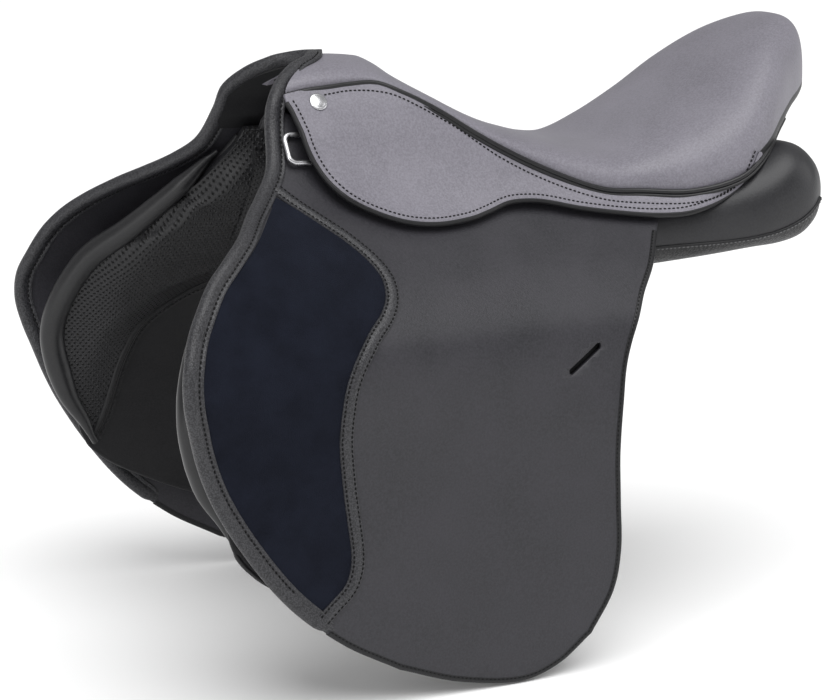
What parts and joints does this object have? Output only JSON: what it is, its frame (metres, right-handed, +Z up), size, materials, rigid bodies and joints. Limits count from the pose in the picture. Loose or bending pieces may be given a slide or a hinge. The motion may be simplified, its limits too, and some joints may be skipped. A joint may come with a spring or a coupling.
{
  "type": "english saddle",
  "caption": "All-purpose riding saddle with padded seat, forward flaps with knee inserts, panels, hinged skirts, stirrup bars and girth straps.",
  "frame": {"origin": "on the centre line where the saddle bears on the horse's back, at mid seat", "axes": "+X to the horse's head, +Y to the near (left) side, +Z up"},
  "size_m": [0.5625, 0.3616, 0.4315],
  "materials": {
    "seat_leather": "satin smooth synthetic leather",
    "flap_leather": "satin smooth synthetic leather",
    "grain_leather": "coarse grained leather",
    "panel_leather": "soft perforated leather",
    "roll_leather": "glossy smooth leather",
    "strap_leather": "matte strap leather",
    "suede": "napped navy suede",
    "foam": "open cell foam",
    "webbing": "woven webbing",
    "tree_ply": "laminated beech",
    "plate_steel": "powder coated",
    "bright_steel": "polished",
    "chrome": "polished",
    "block_foam": "firm moulded foam"
  },
  "bodies": {
    "saddle": {"tree": "tree_ply", "gullet_plate": "plate_steel", "gullet_screws": "bright_steel", "seat_webbing": "webbing", "seat_foam": "foam", "seat": "seat_leather", "seat_welt": "roll_leather", "gullet_lining": "roll_leather", "pommel_band": "grain_leather", "skirt_top_near": "seat_leather", "skirt_top_off": "seat_leather", "skirt_stud_near": "chrome", "skirt_stud_off": "chrome", "flap_head_near": "flap_leather", "flap_head_off": "flap_leather", "sweat_flap_near": "strap_leather", "sweat_flap_off": "strap_leather", "panel_near": "panel_leather", "panel_off": "panel_leather", "panel_front_near": "panel_leather", "panel_front_off": "panel_leather", "knee_roll_near": "roll_leather", "knee_roll_off": "roll_leather", "knee_block_near": "block_foam", "knee_block_off": "block_foam", "buckle_guard_near": "strap_leather", "buckle_guard_off": "strap_leather", "strap_webbing_near": "webbing", "strap_webbing_off": "webbing", "stirrup_bar_near": "bright_steel", "stirrup_bar_off": "bright_steel", "bar_rivets_near": "bright_steel", "bar_rivets_off": "bright_steel", "ring_chape_near": "strap_leather", "ring_chape_off": "strap_leather"},
    "flap_near": {"flap_near": "flap_leather", "flap_band_near": "grain_leather", "knee_insert_near": "suede", "insert_piping_near": "grain_leather"},
    "skirt_near": {"skirt_near": "seat_leather"},
    "catch_near": {"stirrup_catch_near": "bright_steel"},
    "ring_near": {"front_ring_near": "chrome"},
    "front_strap_near": {"front_strap_near": "strap_leather"},
    "middle_strap_near": {"middle_strap_near": "strap_leather"},
    "rear_strap_near": {"rear_strap_near": "strap_leather"},
    "flap_off": {"flap_off": "flap_leather", "flap_band_off": "grain_leather", "knee_insert_off": "suede", "insert_piping_off": "grain_leather"},
    "skirt_off": {"skirt_off": "seat_leather"},
    "catch_off": {"stirrup_catch_off": "bright_steel"},
    "ring_off": {"front_ring_off": "chrome"},
    "front_strap_off": {"front_strap_off": "strap_leather"},
    "middle_strap_off": {"middle_strap_off": "strap_leather"},
    "rear_strap_off": {"rear_strap_off": "strap_leather"}
  },
  "joints": [
    {"name": "flap_lift_near", "type": "hinge", "parent": "saddle", "child": "flap_near", "pos_m": [0, 0.106, 0.052], "axis": [0.991, 0.1338, 0], "range_deg": [0, 75]},
    {"name": "skirt_lift_near", "type": "hinge", "parent": "saddle", "child": "skirt_near", "pos_m": [0.08, 0.0835, 0.084], "axis": [0.9473, -0.1168, 0.2984], "range_deg": [0, 50]},
    {"name": "catch_turn_near", "type": "hinge", "parent": "saddle", "child": "catch_near", "pos_m": [0.074, 0.054, 0.093], "axis": [0, 1, 0], "range_deg": [-85, 0]},
    {"name": "ring_swing_near", "type": "hinge", "parent": "saddle", "child": "ring_near", "pos_m": [0.219, 0.0621, 0.117], "axis": [0, -0.5592, 0.829], "range_deg": [0, 12]},
    {"name": "front_strap_swing_near", "type": "hinge", "parent": "saddle", "child": "front_strap_near", "pos_m": [0.149, 0.15, 0.006], "axis": [0, 1, 0], "range_deg": [-8, 8]},
    {"name": "middle_strap_swing_near", "type": "hinge", "parent": "saddle", "child": "middle_strap_near", "pos_m": [0.107, 0.15, 0.006], "axis": [0, 1, 0], "range_deg": [-8, 8]},
    {"name": "rear_strap_swing_near", "type": "hinge", "parent": "saddle", "child": "rear_strap_near", "pos_m": [0.065, 0.15, 0.006], "axis": [0, 1, 0], "range_deg": [-8, 8]},
    {"name": "flap_lift_off", "type": "hinge", "parent": "saddle", "child": "flap_off", "pos_m": [0, -0.106, 0.052], "axis": [-0.991, 0.1338, 0], "range_deg": [0, 75]},
    {"name": "skirt_lift_off", "type": "hinge", "parent": "saddle", "child": "skirt_off", "pos_m": [0.08, -0.0835, 0.084], "axis": [-0.9473, -0.1168, -0.2984], "range_deg": [0, 50]},
    {"name": "catch_turn_off", "type": "hinge", "parent": "saddle", "child": "catch_off", "pos_m": [0.074, -0.054, 0.093], "axis": [0, 1, 0], "range_deg": [-85, 0]},
    {"name": "ring_swing_off", "type": "hinge", "parent": "saddle", "child": "ring_off", "pos_m": [0.219, -0.0621, 0.117], "axis": [0, -0.5592, -0.829], "range_deg": [0, 12]},
    {"name": "front_strap_swing_off", "type": "hinge", "parent": "saddle", "child": "front_strap_off", "pos_m": [0.149, -0.15, 0.006], "axis": [0, 1, 0], "range_deg": [-8, 8]},
    {"name": "middle_strap_swing_off", "type": "hinge", "parent": "saddle", "child": "middle_strap_off", "pos_m": [0.107, -0.15, 0.006], "axis": [0, 1, 0], "range_deg": [-8, 8]},
    {"name": "rear_strap_swing_off", "type": "hinge", "parent": "saddle", "child": "rear_strap_off", "pos_m": [0.065, -0.15, 0.006], "axis": [0, 1, 0], "range_deg": [-8, 8]}
  ],
  "couplings": [
    {"joint": "middle_strap_swing_near", "follows": "front_strap_swing_near", "ratio": 1},
    {"joint": "rear_strap_swing_near", "follows": "front_strap_swing_near", "ratio": 1},
    {"joint": "middle_strap_swing_off", "follows": "front_strap_swing_off", "ratio": 1},
    {"joint": "rear_strap_swing_off", "follows": "front_strap_swing_off", "ratio": 1}
  ]
}
